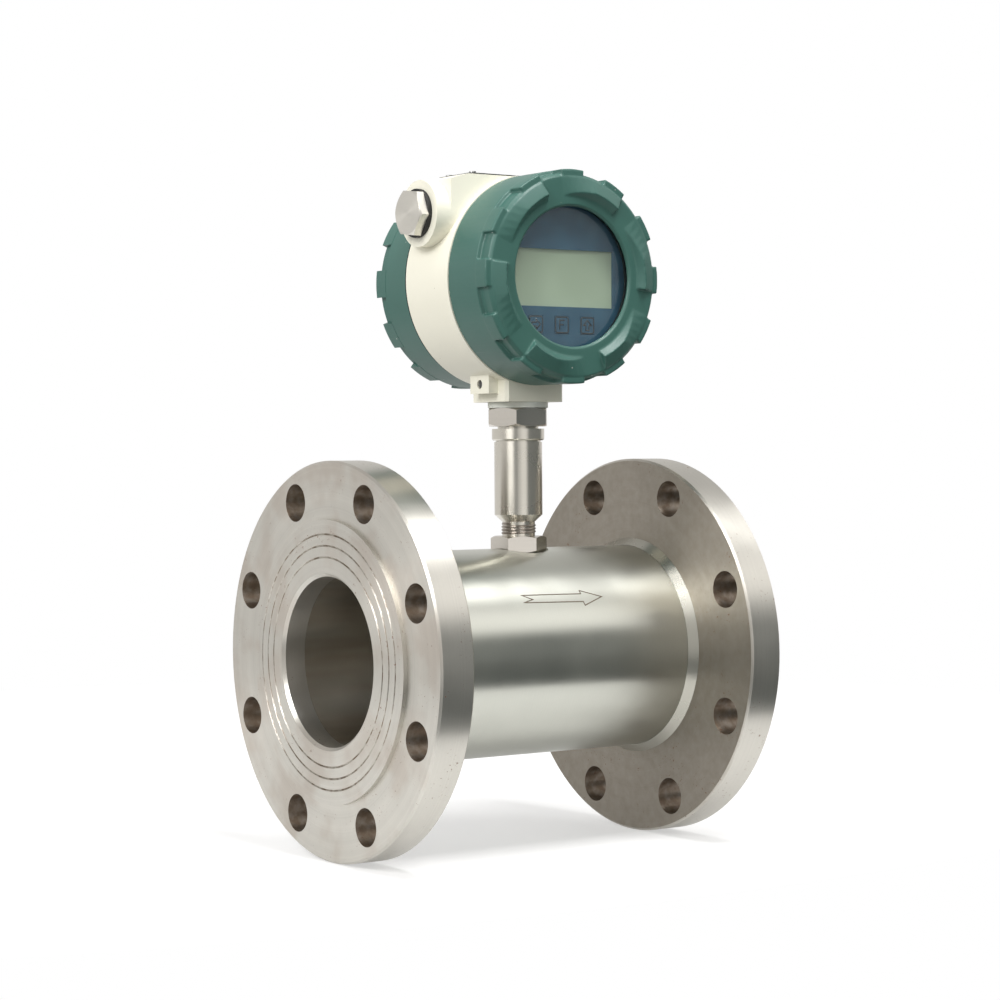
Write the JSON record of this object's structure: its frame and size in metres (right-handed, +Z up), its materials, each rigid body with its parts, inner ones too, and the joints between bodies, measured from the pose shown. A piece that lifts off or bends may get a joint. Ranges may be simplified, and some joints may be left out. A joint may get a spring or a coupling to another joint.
{
  "type": "turbine flow meter",
  "caption": "Flanged turbine flow meter: helical rotor between vaned guides in a steel tube, pick-up stem, and a swivelling two-cover display head with pressable keys.",
  "frame": {"origin": "centre of the inlet bolt circle, on the inlet flange's bolting face", "axes": "+X along the pipe in the direction of flow, -Y the display side, +Z up along the pick-up stem"},
  "size_m": [0.2, 0.188, 0.3266],
  "materials": {
    "flange_steel": "turned, satin",
    "tube_steel": "fine turned, satin",
    "weld_steel": "machined weld fillet, satin",
    "guide_steel": "bead-blasted, satin",
    "rotor_steel": "milled, satin",
    "clip_steel": "spring steel, dark",
    "hard_metal": "ground, fine",
    "sleeve_steel": "turned and polished",
    "nut_steel": "machined, bright",
    "washer_alloy": "bead-blasted, pale",
    "magnet_metal": "nickel plated",
    "bobbin_plastic": "moulded",
    "copper_wire": "enamelled copper",
    "housing_paint": "ivory powder coat, semi-gloss",
    "cover_paint": "grey-green powder coat, satin",
    "window_clear": "clear",
    "black_rubber": "smooth",
    "retainer_metal": "anodised, dark",
    "carrier_plastic": "moulded",
    "face_film": "printed film, satin",
    "screen_grey": "grey-green liquid crystal",
    "key_film": "printed film, satin",
    "switch_plastic": "moulded",
    "board_laminate": "green solder mask",
    "pillar_brass": "turned",
    "terminal_plastic": "moulded",
    "terminal_metal": "zinc plated",
    "lead_jacket": "smooth jacket",
    "plug_steel": "nickel plated, satin",
    "earth_steel": "zinc plated",
    "plate_black": "black anodised",
    "rivet_alloy": "plain"
  },
  "bodies": {
    "pipe": {"meter_tube": "tube_steel", "inlet_flange": "flange_steel", "outlet_flange": "flange_steel", "inlet_weld": "weld_steel", "outlet_weld": "weld_steel", "inlet_guide": "guide_steel", "outlet_guide": "guide_steel", "inlet_clip": "clip_steel", "outlet_clip": "clip_steel", "inlet_bush": "hard_metal", "outlet_bush": "hard_metal", "inlet_thrust_pad": "hard_metal", "outlet_thrust_pad": "hard_metal", "lock_nut": "nut_steel", "top_nut": "nut_steel", "seat_washer": "washer_alloy", "pickup_sleeve": "sleeve_steel", "coil_bobbin": "bobbin_plastic", "coil_winding": "copper_wire", "pole_piece": "magnet_metal", "pickup_magnet": "magnet_metal"},
    "turbine": {"rotor": "rotor_steel", "rotor_shaft": "hard_metal"},
    "head": {"head_housing": "housing_paint", "blanking_plug": "plug_steel", "plug_gasket": "black_rubber", "earth_screw": "earth_steel", "crown_plate": "plate_black", "plate_rivets": "rivet_alloy", "display_carrier": "carrier_plastic", "face_plate": "face_film", "lcd_module": "screen_grey", "display_board": "board_laminate", "key_switches": "switch_plastic", "main_board": "board_laminate", "display_pillars": "pillar_brass", "board_pillars": "pillar_brass", "terminal_board": "board_laminate", "terminal_pillars": "pillar_brass", "terminal_block": "terminal_plastic", "terminal_screws": "terminal_metal", "lead_socket": "switch_plastic", "pickup_lead": "lead_jacket"},
    "front_travel": {"front_seal": "black_rubber"},
    "front_lid": {"front_cover": "cover_paint", "window_gasket": "black_rubber", "window_glass": "window_clear", "glass_retainer": "retainer_metal"},
    "rear_travel": {"rear_seal": "black_rubber"},
    "rear_lid": {"rear_cover": "cover_paint"},
    "left_key": {"key_left": "key_film"},
    "middle_key": {"key_middle": "key_film"},
    "right_key": {"key_right": "key_film"}
  },
  "joints": [
    {"name": "rotor_spin", "type": "hinge", "parent": "pipe", "child": "turbine", "pos_m": [0.1085, 0, 0], "axis": [1, 0, 0], "continuous": true},
    {"name": "head_swivel", "type": "hinge", "parent": "pipe", "child": "head", "pos_m": [0.1085, 0, 0.122], "axis": [0, 0, 1], "range_deg": [-175, 175]},
    {"name": "front_cover_travel", "type": "slide", "parent": "head", "child": "front_travel", "axis": [0, -1, 0], "range_m": [0, 0.0141]},
    {"name": "front_cover_turn", "type": "hinge", "parent": "front_travel", "child": "front_lid", "pos_m": [0.1085, 0, 0.1808], "axis": [0, -1, 0], "range_deg": [0, 2520]},
    {"name": "rear_cover_travel", "type": "slide", "parent": "head", "child": "rear_travel", "axis": [0, 1, 0], "range_m": [0, 0.0141]},
    {"name": "rear_cover_turn", "type": "hinge", "parent": "rear_travel", "child": "rear_lid", "pos_m": [0.1085, 0, 0.1808], "axis": [0, 1, 0], "range_deg": [0, 2520]},
    {"name": "left_key_press", "type": "slide", "parent": "head", "child": "left_key", "axis": [0, 1, 0], "range_m": [0, 0.0004], "stiffness_N_per_m": 2000},
    {"name": "middle_key_press", "type": "slide", "parent": "head", "child": "middle_key", "axis": [0, 1, 0], "range_m": [0, 0.0004], "stiffness_N_per_m": 2000},
    {"name": "right_key_press", "type": "slide", "parent": "head", "child": "right_key", "axis": [0, 1, 0], "range_m": [0, 0.0004], "stiffness_N_per_m": 2000}
  ],
  "couplings": [
    {"joint": "front_cover_travel", "follows": "front_cover_turn", "m_per_rad": 0.00031831},
    {"joint": "rear_cover_travel", "follows": "rear_cover_turn", "m_per_rad": 0.00031831}
  ]
}
